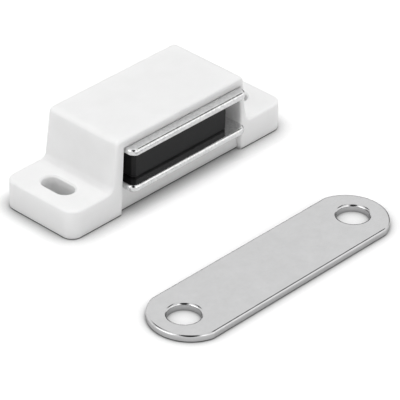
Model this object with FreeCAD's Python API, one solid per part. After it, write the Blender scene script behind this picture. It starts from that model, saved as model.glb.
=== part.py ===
"""Magnetic cupboard catch: moulded housing, two pole plates, a ferrite magnet and a striker plate.

Millimetres. X runs along the housing from ear to ear, -Y is the open front that meets the door,
and +Z points away from the cabinet wall that the housing is screwed to. The origin is the centre
of the housing's base. The magnet sets the size of the plates, the plates set the cavity, and the
walls and ears are added around it.
"""
import FreeCAD, Part

import math
import os

from FreeCAD import Vector

# Magnet: a pressed ferrite block
magnet_length = 20.4
magnet_depth = 12.3
magnet_height = 5.1
magnet_corner_chamfer = 0.5
magnet_edge_chamfer = 0.3

# Pole plates: two equal steel plates, with the magnet held between them by its own pull
plate_thickness = 1.2
plate_end_overhang = 2.25
plate_front_overhang = 1.7
plate_back_overhang = 0.3
plate_front_corner_radius = 1.3
plate_back_corner_radius = 0.7
plate_edge_radius = 0.45

# How the plates sit in the housing, whose mouth lies a little nearer its right end
plate_protrusion = 1.75
mouth_side_shift = 0.5
pack_side_clearance = 0.1
pack_top_clearance = 0.08
pack_back_clearance = 0.2

# Snap ridges in the side walls, and the notches in the plates that they hold
ridge_height = 0.7
ridge_root_width = 2.0
ridge_crest_width = 1.0
ridge_from_front = 7.0
notch_side_clearance = 0.3
notch_depth_clearance = 0.35
notch_corner_radius = 0.3

# Housing walls
base_thickness = 4.15
roof_thickness = 1.52
back_wall = 1.75
thin_side_wall_at_top = 0.62
end_taper_deg = 7.2
mouth_lean_deg = 2.4
lower_lip_recess = 0.9
roof_end_radius = 0.8
outline_edge_radius = 0.42
ground_edge_chamfer = 0.25
mouth_edge_radius = 0.35

# Ears with their slotted screw holes
ear_height = 5.0
ear_reach = 7.8
ear_corner_radius = 1.9
ear_root_fillet = 1.0
slot_width = 3.1
slot_length = 6.0
slot_from_end = 4.25
slot_rim_chamfer = 0.25

# Coring of the underside
ear_roof = 1.5
ear_rim = 1.5
slot_boss_wall = 1.35
base_floor = 1.5
base_rim = 1.6
base_rib = 1.2
base_centre_pad = 3.6
base_pockets_each_side = 2

# Striker plate, lying flat in front of the housing
striker_length = 46.7
striker_width = 12.3
striker_thickness = 1.2
striker_end_bulge = 4.7
striker_corner_radius = 1.5
striker_edge_radius = 0.35
striker_ground_chamfer = 0.2
striker_hole_diameter = 5.0
striker_hole_from_end = 5.15
striker_hole_rim_radius = 0.4
striker_side_shift = -7.5
striker_distance = 25.4

# Sizes that follow from the values above
overshoot = 1.0
plate_length = magnet_length + 2 * plate_end_overhang
plate_depth = plate_front_overhang + magnet_depth + plate_back_overhang
cavity_depth = plate_depth - plate_protrusion + pack_back_clearance
housing_depth = cavity_depth + back_wall
front_y = -housing_depth / 2
back_y = housing_depth / 2
plate_front_y = front_y - plate_protrusion
magnet_z = base_thickness + plate_thickness
upper_plate_z = magnet_z + magnet_height
plates_top_z = upper_plate_z + plate_thickness
cavity_top_z = plates_top_z + pack_top_clearance
housing_height = cavity_top_z + roof_thickness
ridge_y = front_y + ridge_from_front


def mouth_half(z):
    """Half the mouth's width at height z: its sides lean outwards towards the base."""
    at_plates_top = plate_length / 2 + pack_side_clearance
    return at_plates_top + (plates_top_z - z) * math.tan(math.radians(mouth_lean_deg))


def mouth_x(side, z):
    """Where one side of the mouth lies at height z: side is -1 for the left and 1 for the right."""
    return mouth_side_shift + side * mouth_half(z)


def block_half(z):
    """Half the block's length at height z: its ends taper outwards towards the base."""
    at_top = mouth_half(housing_height) + mouth_side_shift + thin_side_wall_at_top
    return at_top + (housing_height - z) * math.tan(math.radians(end_taper_deg))


housing_half_length = block_half(0) + ear_reach
slot_x = housing_half_length - slot_from_end
striker_hole_x = striker_length / 2 - striker_hole_from_end


def prism(points, direction):
    """Solid swept from a closed polygon along a vector."""
    wire = Part.makePolygon([Vector(*point) for point in points + points[:1]])
    return Part.Face(wire).extrude(Vector(*direction))


def box(x_range, y_range, z_range):
    """Box between two corners, given as ranges."""
    size = [high - low for low, high in (x_range, y_range, z_range)]
    return Part.makeBox(*size, Vector(x_range[0], y_range[0], z_range[0]))


def edges_where(shape, test):
    """Edges of a shape whose midpoint passes the test."""
    found = []
    for edge in shape.Edges:
        first, last = edge.ParameterRange
        if test(edge, edge.valueAt((first + last) / 2)):
            found.append(edge)
    return found


def is_upright(edge):
    """True for a straight edge that runs along Z."""
    first, last = edge.ParameterRange
    along = edge.valueAt(last) - edge.valueAt(first)
    return math.hypot(along.x, along.y) < 1e-6


def is_level(edge, z):
    """True for an edge that lies in the plane at height z."""
    bounds = edge.BoundBox
    return abs(bounds.ZMin - z) < 1e-4 and abs(bounds.ZMax - z) < 1e-4


def stadium(x, y, width, length, z_range):
    """Upright solid with a slot outline, long along Y and centred at x, y."""
    low, high = z_range
    half_run = (length - width) / 2
    slot = box((x - width / 2, x + width / 2), (y - half_run, y + half_run), z_range)
    for end in (-half_run, half_run):
        slot = slot.fuse(Part.makeCylinder(width / 2, high - low, Vector(x, y + end, low)))
    return slot.removeSplitter()


def corner_arc(before, corner, after, radius):
    """Arc that rounds a corner of a flat outline, with its two ends."""
    towards = [(Vector(*point) - Vector(*corner)).normalize() for point in (before, after)]
    half_angle = towards[0].getAngle(towards[1]) / 2
    setback = radius / math.tan(half_angle)
    start, end = [Vector(*corner) + side * setback for side in towards]
    bisector = (towards[0] + towards[1]).normalize()
    centre = Vector(*corner) + bisector * (radius / math.sin(half_angle))
    middle = centre - bisector * radius
    return Part.Arc(start, middle, end).toShape(), start, end


def rounded_outline(corners):
    """Closed wire through (point, radius) pairs, with an arc wherever the radius isn't zero."""
    pieces = []
    ends = []
    for index, (point, radius) in enumerate(corners):
        before = corners[index - 1][0]
        after = corners[(index + 1) % len(corners)][0]
        if radius:
            arc, start, end = corner_arc(before, point, after, radius)
            pieces.append(arc)
        else:
            start = end = Vector(*point)
        ends.append((start, end))
    for index, (_, end) in enumerate(ends):
        start = ends[(index + 1) % len(ends)][0]
        pieces.append(Part.LineSegment(end, start).toShape())
    return Part.Wire(Part.__sortEdges__(pieces))


# Housing, outside


def housing_profile():
    """Front view of the housing: ears, root fillets, tapered block ends and rounded roof ends."""
    right = [
        ((housing_half_length, front_y, 0), 0),
        ((housing_half_length, front_y, ear_height), 0),
        ((block_half(ear_height), front_y, ear_height), ear_root_fillet),
        ((block_half(housing_height), front_y, housing_height), roof_end_radius),
    ]
    left = [((-x, y, z), radius) for (x, y, z), radius in reversed(right)]
    return Part.Face(rounded_outline(right + left))


def housing_footprint():
    """Upright solid of the housing's outline from above, with its rounded ear corners."""
    length_range = (-housing_half_length, housing_half_length)
    plan = box(length_range, (front_y, back_y), (-overshoot, housing_height + overshoot))
    corners = edges_where(plan, lambda edge, middle: is_upright(edge))
    return plan.makeFillet(ear_corner_radius, corners)


def housing_outside():
    """Solid outer form, with the edge round its front, ends and back rounded in one loop."""
    body = housing_profile().extrude(Vector(0, housing_depth, 0)).common(housing_footprint())

    def on_rim(edge, middle):
        inside_height = middle.z > ear_height - 1e-3
        on_side = min(middle.y - front_y, back_y - middle.y) < ear_corner_radius - 1e-3
        on_end = abs(middle.x) > housing_half_length - 1e-3
        runs_along_y = edge.BoundBox.YLength > housing_depth - 1e-3
        return inside_height and (on_side or on_end) and not runs_along_y

    body = body.makeFillet(outline_edge_radius, edges_where(body, on_rim))
    ground_rim = edges_where(body, lambda edge, middle: is_level(edge, 0))
    return body.makeChamfer(ground_edge_chamfer, ground_rim)


# Housing, front


def mouth_prism(y_range, z_range):
    """Space between the mouth's leaning sides."""
    low, high = z_range
    outline = [
        (mouth_x(-1, low), y_range[0], low),
        (mouth_x(1, low), y_range[0], low),
        (mouth_x(1, high), y_range[0], high),
        (mouth_x(-1, high), y_range[0], high),
    ]
    return prism(outline, (0, y_range[1] - y_range[0], 0))


def lower_lip_cut():
    """Material taken off the front below the plates, between the side walls, with the lip's ground edge."""
    lip_y = front_y + lower_lip_recess
    outside_y = front_y - overshoot
    top_z = base_thickness + overshoot
    start_x = mouth_x(-1, -overshoot)
    outline = [
        (start_x, outside_y, -overshoot),
        (start_x, lip_y + ground_edge_chamfer + overshoot, -overshoot),
        (start_x, lip_y, ground_edge_chamfer),
        (start_x, lip_y, top_z),
        (start_x, outside_y, top_z),
    ]
    far_y = lip_y + ground_edge_chamfer + 2 * overshoot
    between_walls = mouth_prism((outside_y - overshoot, far_y), (-overshoot, top_z))
    return prism(outline, (mouth_x(1, -overshoot) - start_x, 0, 0)).common(between_walls)


def mouth_edge_cut(side):
    """Material that the rounding takes off the front edge of one of the mouth's leaning sides."""
    x_range = sorted((-side * overshoot, side * mouth_edge_radius))
    y_range = (front_y - overshoot, front_y + mouth_edge_radius)
    whole = box(x_range, y_range, (-overshoot, housing_height + overshoot))
    axis_point = Vector(side * mouth_edge_radius, front_y + mouth_edge_radius, -overshoot)
    cutter = whole.cut(Part.makeCylinder(mouth_edge_radius, housing_height + 2 * overshoot, axis_point))
    cutter.rotate(Vector(0, 0, 0), Vector(0, 1, 0), -side * mouth_lean_deg)
    cutter.translate(Vector(mouth_x(side, 0), 0, 0))
    length_range = (-housing_half_length, housing_half_length)
    below_lip = box(length_range, (front_y - 2 * overshoot, back_y), (-2 * overshoot, cavity_top_z))
    return cutter.common(below_lip)


def cavity_cut():
    """Space that the magnet and its plates are pushed into from the front."""
    return mouth_prism((front_y - overshoot, front_y + cavity_depth), (base_thickness, cavity_top_z))


def snap_ridge(side):
    """Upright ridge on one side wall, which snaps into the notches at the ends of both plates."""
    sections = []
    for z in (base_thickness, cavity_top_z):
        wall_x = mouth_x(side, z)
        root_x = wall_x + side * thin_side_wall_at_top / 2
        crest_x = wall_x - side * ridge_height
        section = [
            (root_x, ridge_y - ridge_root_width / 2, z),
            (wall_x, ridge_y - ridge_root_width / 2, z),
            (crest_x, ridge_y - ridge_crest_width / 2, z),
            (crest_x, ridge_y + ridge_crest_width / 2, z),
            (wall_x, ridge_y + ridge_root_width / 2, z),
            (root_x, ridge_y + ridge_root_width / 2, z),
        ]
        sections.append(Part.makePolygon([Vector(*point) for point in section + section[:1]]))
    return Part.makeLoft(sections, True, True)


# Housing, ears and underside


def screw_slots():
    """Slotted holes through both ears, long from front to back."""
    through = (-overshoot, ear_height + overshoot)
    return [stadium(side * slot_x, 0, slot_width, slot_length, through) for side in (-1, 1)]


def ear_core(side):
    """Hollow under one ear, round the boss of its slot."""
    outer = sorted((side * block_half(0), side * (housing_half_length - ear_rim)))
    depth = (-overshoot, ear_height - ear_roof)
    hollow = box(outer, (front_y + ear_rim, back_y - ear_rim), depth)
    boss_width = slot_width + 2 * slot_boss_wall
    boss_length = slot_length + 2 * slot_boss_wall
    return hollow.cut(stadium(side * slot_x, 0, boss_width, boss_length, depth))


def base_cores():
    """Shallow pockets under the block, either side of the centre pad, with ribs between them."""
    inner = base_centre_pad / 2
    outer = mouth_half(0) - mouth_side_shift - base_rim
    pitch = (outer - inner + base_rib) / base_pockets_each_side
    near = front_y + lower_lip_recess + base_rim
    far = back_y - base_rim
    rows = ((near, -base_rib / 2), (base_rib / 2, far))
    cores = []
    for index in range(base_pockets_each_side):
        start = inner + index * pitch
        for side in (-1, 1):
            span = sorted((side * start, side * (start + pitch - base_rib)))
            for row in rows:
                cores.append(box(span, row, (-overshoot, base_thickness - base_floor)))
    return cores


def housing():
    """The one-piece moulding."""
    body = housing_outside().cut(lower_lip_cut()).cut(cavity_cut())
    for side in (-1, 1):
        body = body.cut(mouth_edge_cut(side)).fuse(snap_ridge(side)).cut(ear_core(side))
    for core in base_cores() + screw_slots():
        body = body.cut(core)
    body = body.removeSplitter()

    def is_slot_rim(edge, middle):
        near_slot = abs(abs(middle.x) - slot_x) < slot_width and abs(middle.y) < slot_length
        return near_slot and is_level(edge, ear_height)

    return body.makeChamfer(slot_rim_chamfer, edges_where(body, is_slot_rim))


# Magnet and pole plates


def plate_outline(z):
    """Outline of a pole plate from above, before its notches."""
    half = plate_length / 2
    near = plate_front_y
    far = plate_front_y + plate_depth
    corners = [
        ((-half, near, z), plate_front_corner_radius),
        ((half, near, z), plate_front_corner_radius),
        ((half, far, z), plate_back_corner_radius),
        ((-half, far, z), plate_back_corner_radius),
    ]
    return Part.Face(rounded_outline(corners))


def snap_notch(side):
    """Cutter for the notch that one end of both plates has for its snap ridge."""
    floor_x = mouth_half(plates_top_z) - ridge_height - notch_depth_clearance
    half_width = ridge_root_width / 2 + notch_side_clearance
    x_range = sorted((side * floor_x, side * (plate_length / 2 + overshoot)))
    cutter = box(x_range, (ridge_y - half_width, ridge_y + half_width), (0, housing_height))

    def is_floor_corner(edge, middle):
        return is_upright(edge) and abs(abs(middle.x) - floor_x) < 1e-6

    return cutter.makeFillet(notch_corner_radius, edges_where(cutter, is_floor_corner))


def pole_plate(z):
    """Steel plate with rolled edges and punched notches, lying with its underside at height z."""
    top_z = z + plate_thickness
    plate = plate_outline(z).extrude(Vector(0, 0, plate_thickness))
    rim = edges_where(plate, lambda edge, middle: is_level(edge, z) or is_level(edge, top_z))
    plate = plate.makeFillet(plate_edge_radius, rim)
    for side in (-1, 1):
        plate = plate.cut(snap_notch(side))
    plate.translate(Vector(mouth_side_shift, 0, 0))
    return plate


def magnet():
    """Ferrite block between the plates, set back from their fronts and centred in the housing."""
    near = plate_front_y + plate_front_overhang
    half = magnet_length / 2
    block = box((-half, half), (near, near + magnet_depth), (magnet_z, upper_plate_z))
    corners = edges_where(block, lambda edge, middle: is_upright(edge))
    block = block.makeChamfer(magnet_corner_chamfer, corners)
    ends_z = (magnet_z, upper_plate_z)
    rim = edges_where(block, lambda edge, middle: any(is_level(edge, z) for z in ends_z))
    return block.makeChamfer(magnet_edge_chamfer, rim)


# Striker plate


def striker_outline(z):
    """Outline with straight sides and ends that are a little flatter than half circles."""
    half = striker_width / 2
    straight = striker_length / 2 - striker_end_bulge
    corners = [(-straight, -half), (straight, -half), (straight, half), (-straight, half)]
    points = [Vector(x, y, z) for x, y in corners]
    tips = [Vector(side * striker_length / 2, 0, z) for side in (1, -1)]
    edges = [
        Part.LineSegment(points[0], points[1]).toShape(),
        Part.Arc(points[1], tips[0], points[2]).toShape(),
        Part.LineSegment(points[2], points[3]).toShape(),
        Part.Arc(points[3], tips[1], points[0]).toShape(),
    ]
    return Part.Face(Part.Wire(edges))


def striker_plate():
    """Punched steel plate for the door: two round holes, upper edges rounded, lower edge broken."""
    plate = striker_outline(0).extrude(Vector(0, 0, striker_thickness))
    uprights = edges_where(plate, lambda edge, middle: is_upright(edge))
    plate = plate.makeFillet(striker_corner_radius, uprights)
    upper_rim = edges_where(plate, lambda edge, middle: is_level(edge, striker_thickness))
    plate = plate.makeFillet(striker_edge_radius, upper_rim)
    lower_rim = edges_where(plate, lambda edge, middle: is_level(edge, 0))
    plate = plate.makeChamfer(striker_ground_chamfer, lower_rim)
    for side in (-1, 1):
        centre = Vector(side * striker_hole_x, 0, -overshoot)
        height = striker_thickness + 2 * overshoot
        plate = plate.cut(Part.makeCylinder(striker_hole_diameter / 2, height, centre))

    def is_hole_rim(edge, middle):
        from_hole = abs(abs(middle.x) - striker_hole_x)
        return is_level(edge, striker_thickness) and math.hypot(from_hole, middle.y) < striker_hole_diameter

    plate = plate.makeFillet(striker_hole_rim_radius, edges_where(plate, is_hole_rim))
    plate.translate(Vector(striker_side_shift, front_y - striker_distance, 0))
    return plate


def main():
    """Write one file per piece."""
    os.makedirs("parts", exist_ok=True)
    pieces = {
        "housing": housing(),
        "lower_pole_plate": pole_plate(base_thickness),
        "magnet": magnet(),
        "upper_pole_plate": pole_plate(upper_plate_z),
        "striker_plate": striker_plate(),
    }
    for name, shape in pieces.items():
        print(name, "valid:", shape.isValid(), "volume in mm3:", round(shape.Volume, 1))
        shape.exportStep("parts/" + name + ".step")


main()
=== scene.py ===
"""Looks of a small magnetic cupboard catch and its loose striker plate.

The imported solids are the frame: every piece keeps its place and shape, and this script gives the
moulded housing, the plated plates and the ferrite block their surfaces, then the studio round them.
Lengths are in metres, and patterns are given by the width of one blob or streak on the real part.
"""
import logging
import math
from dataclasses import dataclass
from enum import Enum

import bpy
from mathutils import Matrix, Vector

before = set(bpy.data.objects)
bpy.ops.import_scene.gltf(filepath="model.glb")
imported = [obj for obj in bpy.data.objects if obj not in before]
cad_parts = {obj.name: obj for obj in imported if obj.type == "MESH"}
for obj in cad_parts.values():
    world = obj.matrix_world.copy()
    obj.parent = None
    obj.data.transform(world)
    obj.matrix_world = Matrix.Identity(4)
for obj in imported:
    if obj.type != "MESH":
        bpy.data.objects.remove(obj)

LOG = logging.getLogger("catch")
MM = 0.001
MASK_MIDDLE = 0.5
NOISE_ROUGHNESS = 0.55

Colour = tuple[float, float, float]
Point = tuple[float, float, float]
Tree = bpy.types.NodeTree
Socket = bpy.types.NodeSocket
Source = Socket | float | tuple[float, ...] | Vector


class Grain(Enum):
    """Which way a pattern runs, as its stretch along each axis."""

    EVEN = (1.0, 1.0, 1.0)
    ALONG_X = (0.12, 1.0, 1.0)


class Maths(Enum):
    """What a math node works with: its type and the output that it is read from."""

    NUMBERS = ("ShaderNodeMath", "Value")
    VECTORS = ("ShaderNodeVectorMath", "Vector")
    MEASURES = ("ShaderNodeVectorMath", "Value")


def feed(tree: Tree, source: Source, target: Socket) -> None:
    """Gives an input its value.

    Args:
        tree: the tree that holds the input's node.
        source: the output socket to link, or a constant.
        target: the input socket.
    """
    if isinstance(source, Socket):
        tree.links.new(source, target)
    else:
        target.default_value = source


def fill(tree: Tree, node: bpy.types.Node, **sources: Source) -> None:
    """Feeds a node's inputs by name.

    Args:
        tree: the tree that holds the node.
        node: the node.
        **sources: sockets or constants, with underscores for the spaces in an input's name.
    """
    for name, source in sources.items():
        feed(tree, source, node.inputs[name.replace("_", " ")])


def add_node(tree: Tree, kind: str, **sources: Source) -> bpy.types.Node:
    """Adds a node and feeds its inputs by name.

    Args:
        tree: the tree to add to.
        kind: the node's type, such as ShaderNodeBump.
        **sources: sockets or constants, with underscores for the spaces in an input's name.

    Returns:
        The new node.
    """
    node = tree.nodes.new(kind)
    fill(tree, node, **sources)
    return node


def add_maths(tree: Tree, maths: Maths, operation: str, *sources: Source) -> Socket:
    """Adds a math node and feeds its inputs in order.

    Args:
        tree: the tree to add to.
        maths: what the node works with.
        operation: what it works out.
        *sources: sockets or constants.

    Returns:
        The result's output socket.
    """
    kind, output = maths.value
    node = tree.nodes.new(kind)
    node.operation = operation
    for source, target in zip(sources, node.inputs):
        feed(tree, source, target)
    return node.outputs[output]


@dataclass(frozen=True)
class Pattern:
    """Blobs or streaks on a surface.

    Attributes:
        width: width of one blob.
        detail: how much finer detail it holds.
        contrast: how far its mask spreads from the middle.
        height: rise of the surface from the mask's 0 to its 1.
        grain: which way it runs.
    """

    width: float
    detail: float
    contrast: float
    height: float = 0.0
    grain: Grain = Grain.EVEN


class SurfaceGroups:
    """Shader node groups that several finishes share."""

    def __init__(self) -> None:
        """Builds each group once."""
        self.blotches = self._build_blotches()

    @staticmethod
    def _build_blotches() -> Tree:
        """Makes the group that turns object coordinates into a soft mask of blobs or streaks.

        Returns:
            A group with inputs Stretch, Width, Detail and Contrast, and output Mask.
        """
        tree = bpy.data.node_groups.new("surface_blotches", "ShaderNodeTree")
        face = tree.interface
        for name, kind, value in (
            ("Stretch", "NodeSocketVector", Grain.EVEN.value),
            ("Width", "NodeSocketFloat", MM),
            ("Detail", "NodeSocketFloat", 3.0),
            ("Contrast", "NodeSocketFloat", 1.0),
        ):
            face.new_socket(name=name, in_out="INPUT", socket_type=kind).default_value = value
        face.new_socket(name="Mask", in_out="OUTPUT", socket_type="NodeSocketFloat")
        asked = tree.nodes.new("NodeGroupInput").outputs
        place = tree.nodes.new("ShaderNodeTexCoord").outputs["Object"]
        stretched = add_maths(tree, Maths.VECTORS, "MULTIPLY", place, asked["Stretch"])
        scaled = add_maths(tree, Maths.VECTORS, "DIVIDE", stretched, asked["Width"])
        noise = add_node(
            tree,
            "ShaderNodeTexNoise",
            Vector=scaled,
            Scale=1.0,
            Detail=asked["Detail"],
            Roughness=NOISE_ROUGHNESS,
        ).outputs["Fac"]
        centred = add_maths(tree, Maths.NUMBERS, "SUBTRACT", noise, MASK_MIDDLE)
        spread = add_maths(tree, Maths.NUMBERS, "MULTIPLY", centred, asked["Contrast"])
        mask = add_maths(tree, Maths.NUMBERS, "ADD", spread, MASK_MIDDLE)
        mask.node.use_clamp = True
        add_node(tree, "NodeGroupOutput", Mask=mask)
        return tree


class MaterialBench:
    """One material being built: its tree, its shader and the patterns that feed it."""

    def __init__(self, name: str, groups: SurfaceGroups) -> None:
        """Starts a material with one Principled shader.

        Args:
            name: the material's name.
            groups: the shared node groups.
        """
        self.groups = groups
        self.material = bpy.data.materials.new(name)
        self.material.use_nodes = True
        self.tree = self.material.node_tree
        self.shader = self.tree.nodes["Principled BSDF"]

    def set(self, **sources: Source) -> None:
        """Feeds the shader's own inputs by name, as fill does."""
        fill(self.tree, self.shader, **sources)

    def pattern(self, pattern: Pattern) -> Socket:
        """Adds the mask of a pattern.

        Args:
            pattern: the blobs or streaks.

        Returns:
            The mask's output socket, 0 to 1 round its middle.
        """
        node = self.tree.nodes.new("ShaderNodeGroup")
        node.node_tree = self.groups.blotches
        fill(
            self.tree,
            node,
            Stretch=pattern.grain.value,
            Width=pattern.width,
            Detail=pattern.detail,
            Contrast=pattern.contrast,
        )
        return node.outputs["Mask"]

    def ramp(self, mask: Socket, low: float, high: float) -> Socket:
        """Turns a mask into a value between two limits.

        Args:
            mask: the mask, 0 to 1.
            low: value where the mask is 0.
            high: value where the mask is 1.

        Returns:
            The value's output socket.
        """
        node = add_node(self.tree, "ShaderNodeMapRange", Value=mask, To_Min=low, To_Max=high)
        return node.outputs["Result"]

    def mingle(self, wide: Socket, fine: Socket, share: float) -> Socket:
        """Mixes two masks.

        Args:
            wide: the first mask.
            fine: the second mask.
            share: how much of the second one shows.

        Returns:
            The mixed mask's output socket.
        """
        return add_node(self.tree, "ShaderNodeMix", Factor=share, A=wide, B=fine).outputs["Result"]

    def blend(self, mask: Socket, low: Colour, high: Colour) -> Socket:
        """Mixes two colours by a mask.

        Args:
            mask: the mask, 0 to 1.
            low: colour where the mask is 0.
            high: colour where the mask is 1.

        Returns:
            The colour's output socket.
        """
        node = self.tree.nodes.new("ShaderNodeMix")
        node.data_type = "RGBA"
        fill(self.tree, node, Factor=mask, A=(*low, 1.0), B=(*high, 1.0))
        return node.outputs["Result"]

    def bump(self, *layers: tuple[Socket, Pattern]) -> Socket:
        """Adds a chain of bumps, each on top of the last.

        Args:
            *layers: pairs of a mask and the pattern that it shows.

        Returns:
            The output socket of the bumped normal.
        """
        below: dict[str, Socket] = {}
        for mask, pattern in layers:
            node = add_node(
                self.tree, "ShaderNodeBump", Distance=pattern.height, Height=mask, **below
            )
            below = {"Normal": node.outputs["Normal"]}
        return below["Normal"]


@dataclass(frozen=True)
class MouldedPlastic:
    """White semi-gloss moulding with faint flow and a fine skin.

    Attributes:
        milkiness: share of the light that scatters inside the plastic.
        scatter_depth: how far that light travels.
        scatter_tint: how far each of red, green and blue travels, as a share of that.
    """

    name: str = "white_moulding"
    pale: Colour = (0.90, 0.90, 0.90)
    dull: Colour = (0.86, 0.86, 0.858)
    smooth: float = 0.30
    rough: float = 0.44
    flow: Pattern = Pattern(width=3.5 * MM, detail=2.0, contrast=1.6, height=0.012 * MM)
    skin: Pattern = Pattern(width=0.16 * MM, detail=3.0, contrast=1.4, height=0.0012 * MM)
    ior: float = 1.5
    milkiness: float = 0.8
    scatter_depth: float = 1.5 * MM
    scatter_tint: Colour = (1.0, 1.0, 1.0)

    def make(self, groups: SurfaceGroups) -> bpy.types.Material:
        """Builds the material.

        Args:
            groups: the shared node groups.

        Returns:
            The finished material.
        """
        bench = MaterialBench(self.name, groups)
        flow = bench.pattern(self.flow)
        skin = bench.pattern(self.skin)
        bench.set(
            Base_Color=bench.blend(flow, self.dull, self.pale),
            Roughness=bench.ramp(flow, self.smooth, self.rough),
            Normal=bench.bump((flow, self.flow), (skin, self.skin)),
            IOR=self.ior,
            Subsurface_Weight=self.milkiness,
            Subsurface_Scale=self.scatter_depth,
            Subsurface_Radius=self.scatter_tint,
        )
        return bench.material


@dataclass(frozen=True)
class PlatedSteel:
    """Nickel plating over sheet steel, with the sheet's grain showing through it.

    Attributes:
        cloud: wide soft clouds in the plating's shine.
        grain: the sheet's fine grain.
        sparkle: share of the brightness that follows the grain and not the clouds.
    """

    name: str
    bright: Colour
    dull: Colour
    smooth: float
    rough: float
    grain: Pattern
    sparkle: float
    cloud: Pattern = Pattern(width=2.5 * MM, detail=3.0, contrast=1.6)

    def make(self, groups: SurfaceGroups) -> bpy.types.Material:
        """Builds the material.

        Args:
            groups: the shared node groups.

        Returns:
            The finished material.
        """
        bench = MaterialBench(self.name, groups)
        cloud = bench.pattern(self.cloud)
        grain = bench.pattern(self.grain)
        shine = bench.mingle(cloud, grain, self.sparkle)
        bench.set(
            Base_Color=bench.blend(shine, self.dull, self.bright),
            Roughness=bench.ramp(cloud, self.smooth, self.rough),
            Normal=bench.bump((grain, self.grain)),
            Metallic=1.0,
        )
        return bench.material


@dataclass(frozen=True)
class Ferrite:
    """Pressed ferrite: near black, slightly glossy, with a fine grain."""

    name: str = "pressed_ferrite"
    dark: Colour = (0.004, 0.004, 0.0045)
    pale: Colour = (0.014, 0.014, 0.015)
    smooth: float = 0.45
    rough: float = 0.65
    grain: Pattern = Pattern(width=0.25 * MM, detail=4.0, contrast=2.0, height=0.016 * MM)
    ior: float = 1.38

    def make(self, groups: SurfaceGroups) -> bpy.types.Material:
        """Builds the material.

        Args:
            groups: the shared node groups.

        Returns:
            The finished material.
        """
        bench = MaterialBench(self.name, groups)
        grain = bench.pattern(self.grain)
        bench.set(
            Base_Color=bench.blend(grain, self.dark, self.pale),
            Roughness=bench.ramp(grain, self.smooth, self.rough),
            Normal=bench.bump((grain, self.grain)),
            IOR=self.ior,
        )
        return bench.material


def direction(azimuth_deg: float, elevation_deg: float) -> Vector:
    """Gives the direction of a place in the room.

    Args:
        azimuth_deg: turn from +X towards +Y.
        elevation_deg: height over the horizon.

    Returns:
        A unit vector from the part towards that place.
    """
    turn = math.radians(azimuth_deg)
    rise = math.radians(elevation_deg)
    level = math.cos(rise)
    return Vector((math.cos(turn) * level, math.sin(turn) * level, math.sin(rise)))


def facing(away: Vector) -> Matrix:
    """Gives the axes of a lamp, patch or camera that faces the part.

    Args:
        away: unit vector from the part to it, which isn't straight up.

    Returns:
        A rotation whose columns are level, upright and away.
    """
    level = Vector((0.0, 0.0, 1.0)).cross(away).normalized()
    return Matrix((level, away.cross(level), away)).transposed()


def set_up(
    data: bpy.types.Camera | bpy.types.Light, place: Vector | Point, axes: Matrix
) -> bpy.types.Object:
    """Sets up a camera or lamp in the scene.

    Args:
        data: the camera or lamp, whose name its object takes.
        place: where it stands.
        axes: how it is turned.

    Returns:
        The new object.
    """
    thing = bpy.data.objects.new(data.name, data)
    thing.matrix_world = Matrix.Translation(place) @ axes.to_4x4()
    bpy.context.scene.collection.objects.link(thing)
    return thing


def dress(node: str, material: bpy.types.Material) -> None:
    """Gives a solid of the frame its material.

    Args:
        node: the solid's name.
        material: what it is made of.
    """
    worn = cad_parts[node].data.materials
    for index in range(len(worn)):
        worn[index] = material
    LOG.info("%s wears %s", node, material.name)


@dataclass
class CatchBody:
    """The catch itself: a moulded housing with a ferrite block between two steel plates."""

    housing_finish: MouldedPlastic = MouldedPlastic()
    plate_finish: PlatedSteel = PlatedSteel(
        name="plated_poles",
        bright=(0.90, 0.90, 0.90),
        dull=(0.64, 0.64, 0.645),
        smooth=0.07,
        rough=0.13,
        grain=Pattern(width=0.38 * MM, detail=3.0, contrast=2.4, height=0.012 * MM),
        sparkle=0.8,
    )
    magnet_finish: Ferrite = Ferrite()

    def build(self, groups: SurfaceGroups) -> None:
        """Dresses the housing, both plates and the magnet.

        Args:
            groups: the shared node groups.
        """
        dress("housing", self.housing_finish.make(groups))
        steel = self.plate_finish.make(groups)
        for node in ("lower_pole_plate", "upper_pole_plate"):
            dress(node, steel)
        dress("magnet", self.magnet_finish.make(groups))


@dataclass
class StrikerPlate:
    """The flat plate that is screwed to the door."""

    finish: PlatedSteel = PlatedSteel(
        name="plated_striker",
        bright=(0.65, 0.65, 0.655),
        dull=(0.57, 0.57, 0.572),
        smooth=0.05,
        rough=0.09,
        grain=Pattern(
            width=0.12 * MM, detail=3.0, contrast=2.4, height=0.003 * MM, grain=Grain.ALONG_X
        ),
        sparkle=0.3,
    )

    def build(self, groups: SurfaceGroups) -> None:
        """Dresses the plate.

        Args:
            groups: the shared node groups.
        """
        dress("striker_plate", self.finish.make(groups))


@dataclass(frozen=True)
class PhotoView:
    """The photograph's viewpoint: where the camera stands and how it is turned."""

    lens_mm: float = 281.9
    sensor_mm: float = 36.0
    place: Point = (-0.29114, -0.28271, 0.25683)
    azimuth_deg: float = -137.015
    elevation_deg: float = 32.950
    roll_deg: float = 1.045
    nearest: float = 0.01
    farthest: float = 20.0

    def build(self) -> None:
        """Makes the scene's camera."""
        data = bpy.data.cameras.new("photo_camera")
        data.lens = self.lens_mm
        data.sensor_width = self.sensor_mm
        data.clip_start = self.nearest
        data.clip_end = self.farthest
        roll = Matrix.Rotation(math.radians(self.roll_deg), 3, "Z")
        axes = facing(direction(self.azimuth_deg, self.elevation_deg)) @ roll
        bpy.context.scene.camera = set_up(data, self.place, axes)


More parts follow.
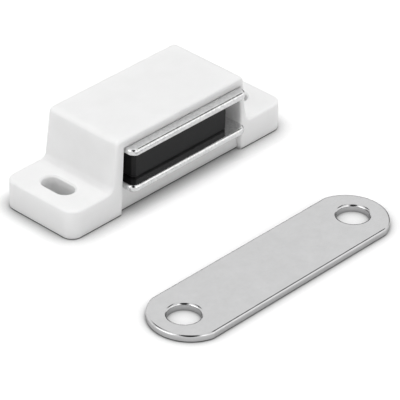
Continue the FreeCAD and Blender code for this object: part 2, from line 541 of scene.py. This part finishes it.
@dataclass(frozen=True)
class Softbox:
    """One soft lamp of the studio, given by where it hangs as seen from the part.

    Attributes:
        brightness: how bright its face is, where 1 is as bright as the tent in reflections.
        distance: how far it hangs from the part.
        mirrored: whether glossy surfaces show it.
    """

    name: str
    azimuth_deg: float
    elevation_deg: float
    width: float
    height: float
    brightness: float
    distance: float = 0.6
    mirrored: bool = True

    def build(self) -> None:
        """Hangs the lamp facing the part."""
        data = bpy.data.lights.new(self.name, "AREA")
        data.shape = "RECTANGLE"
        data.size = self.width
        data.size_y = self.height
        data.energy = self.brightness * math.pi * self.width * self.height
        away = direction(self.azimuth_deg, self.elevation_deg)
        lamp = set_up(data, away * self.distance, facing(away))
        lamp.visible_glossy = self.mirrored
        LOG.info("%s hangs at %.0f, %.0f degrees", self.name, self.azimuth_deg, self.elevation_deg)


@dataclass(frozen=True)
class TentPatch:
    """An oval patch of the light tent, which only reflections show.

    Attributes:
        depth: how much darker than the tent it is, as an opening or seam; below 0 it is a lit
            panel, brighter than the tent.
        outer: where its soft edge starts, as a multiple of its half width and height.
        inner: where that edge ends and the patch is full.
    """

    azimuth_deg: float
    elevation_deg: float
    half_width_deg: float
    half_height_deg: float
    depth: float = 0.97
    outer: float = 1.25
    inner: float = 0.75

    def add_factor(self, tree: Tree, view: Socket) -> Socket:
        """Adds what the patch does to the tent's light: 1 away from it, less or more inside it.

        Args:
            tree: the world's node tree.
            view: the socket of the direction looked in.

        Returns:
            The factor's output socket.
        """
        middle = direction(self.azimuth_deg, self.elevation_deg)
        level, upright, _ = facing(middle).transposed()
        across, upward, ahead = (
            add_maths(tree, Maths.MEASURES, "DOT_PRODUCT", view, axis)
            for axis in (
                level / math.sin(math.radians(self.half_width_deg)),
                upright / math.sin(math.radians(self.half_height_deg)),
                middle,
            )
        )
        place = add_node(tree, "ShaderNodeCombineXYZ", X=across, Y=upward).outputs["Vector"]
        inside = add_node(
            tree,
            "ShaderNodeMapRange",
            Value=add_maths(tree, Maths.MEASURES, "LENGTH", place),
            From_Min=self.outer,
            From_Max=self.inner,
            To_Max=self.depth,
        )
        inside.interpolation_type = "SMOOTHSTEP"
        in_front = add_maths(tree, Maths.NUMBERS, "GREATER_THAN", ahead, 0.0)
        shade = add_maths(tree, Maths.NUMBERS, "MULTIPLY", inside.outputs["Result"], in_front)
        return add_maths(tree, Maths.NUMBERS, "SUBTRACT", 1.0, shade)


@dataclass
class Studio:
    """White table in a light tent, with softboxes above, in front and at both sides.

    Attributes:
        table_gain: how much whiter the camera sees the table than the part does.
        painted_shadow_reach: how near a solid has to be for the painted contact shadow to darken
            the table's colour.
        painted_shadow_depth: how strongly that painted shadow darkens it, where 1 is as much as the
            solid hides.
        room_light: the tent's light on the part, where its reflection is 1.
        openings: dark openings and seams, which draw the dark edge lines.
        panels: lit panels, which draw the bright ones.
    """

    table_size: float = 3.0
    table_colour: float = 0.84
    table_gain: float = 1.34
    table_roughness: float = 0.9
    painted_shadow_reach: float = 4.0 * MM
    painted_shadow_depth: float = 1.05
    room_light: float = 0.49
    softboxes: tuple[Softbox, ...] = (
        Softbox("top_softbox", -100.0, 81.0, 0.42, 0.42, 3.4, mirrored=False),
        Softbox("front_softbox", -80.0, 18.0, 0.30, 0.20, 0.35, mirrored=False),
        Softbox("right_softbox", -86.0, 20.0, 0.22, 0.10, 0.45, distance=0.25),
        Softbox("left_softbox", 160.0, 20.0, 0.50, 0.30, 1.1),
    )
    openings: tuple[TentPatch, ...] = (
        TentPatch(-137.0, 48.0, 20.0, 44.0),
        TentPatch(4.0, 52.0, 17.0, 9.0),
        TentPatch(32.0, 6.0, 38.0, 18.0),
        TentPatch(82.0, 52.0, 17.0, 9.0),
    )
    panels: tuple[TentPatch, ...] = (
        TentPatch(-46.0, 25.0, 13.0, 18.0, depth=-0.22),
        TentPatch(170.0, 36.0, 15.0, 20.0, depth=-0.6),
        TentPatch(-98.0, 40.0, 9.0, 16.0, depth=-0.6),
    )

    def build(self, groups: SurfaceGroups) -> None:
        """Lays the table, hangs the lamps and lights the room.

        Args:
            groups: the shared node groups.
        """
        self._lay_table(groups)
        for softbox in self.softboxes:
            softbox.build()
        self._light_room()
        bpy.context.scene.view_settings.view_transform = "Standard"

    def _lay_table(self, groups: SurfaceGroups) -> None:
        """Makes the white table that the part stands on, with a painted contact shadow: ambient
        occlusion darkens its colour near solids.

        Args:
            groups: the shared node groups.
        """
        bpy.ops.object.select_all(action="DESELECT")
        bpy.ops.mesh.primitive_plane_add(size=self.table_size, location=(0, 0, 0))
        table = bpy.context.object
        table.name = "table"
        bench = MaterialBench("white_table", groups)
        rays = bench.tree.nodes.new("ShaderNodeLightPath").outputs
        # Painted contact shadow: ambient occlusion darkens the table's own colour near solids, on
        # top of the shadow that the lamps cast.
        painted_contact_shadow = add_node(bench.tree, "ShaderNodeAmbientOcclusion", Distance=self.painted_shadow_reach)
        painted_shadow_colour = add_node(
            bench.tree,
            "ShaderNodeMapRange",
            Value=painted_contact_shadow.outputs["AO"],
            From_Min=1.0 - 1.0 / self.painted_shadow_depth,
            To_Max=bench.ramp(
                rays["Is Camera Ray"], self.table_colour, self.table_colour * self.table_gain
            ),
        )
        bench.set(
            Base_Color=painted_shadow_colour.outputs["Result"],
            Roughness=self.table_roughness,
            Specular_IOR_Level=0.0,
        )
        table.data.materials.append(bench.material)

    def _light_room(self) -> None:
        """Lights the room: even on the part, patched in reflections, white to the camera."""
        world = bpy.data.worlds.new("light_tent")
        bpy.context.scene.world = world
        world.use_nodes = True
        tree = world.node_tree
        rays = tree.nodes.new("ShaderNodeLightPath").outputs
        view = tree.nodes.new("ShaderNodeTexCoord").outputs["Generated"]
        tent: Source = 1.0
        for patch in self.openings + self.panels:
            factor = patch.add_factor(tree, view)
            tent = add_maths(tree, Maths.NUMBERS, "MULTIPLY", tent, factor)
        reflected = add_maths(
            tree, Maths.NUMBERS, "MAXIMUM", rays["Is Glossy Ray"], rays["Is Transmission Ray"]
        )
        level = add_node(
            tree, "ShaderNodeMapRange", Value=reflected, To_Min=self.room_light, To_Max=tent
        ).outputs["Result"]
        strength = add_maths(tree, Maths.NUMBERS, "MAXIMUM", rays["Is Camera Ray"], level)
        background = tree.nodes["Background"]
        fill(tree, background, Color=(1.0, 1.0, 1.0, 1.0), Strength=strength)


def main() -> None:
    """Dresses the pieces in order, then builds the studio and the camera."""
    logging.basicConfig(level=logging.INFO, format="%(name)s: %(message)s")
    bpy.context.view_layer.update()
    groups = SurfaceGroups()
    CatchBody().build(groups)
    StrikerPlate().build(groups)
    Studio().build(groups)
    PhotoView().build()


if __name__ == "__main__":
    main()
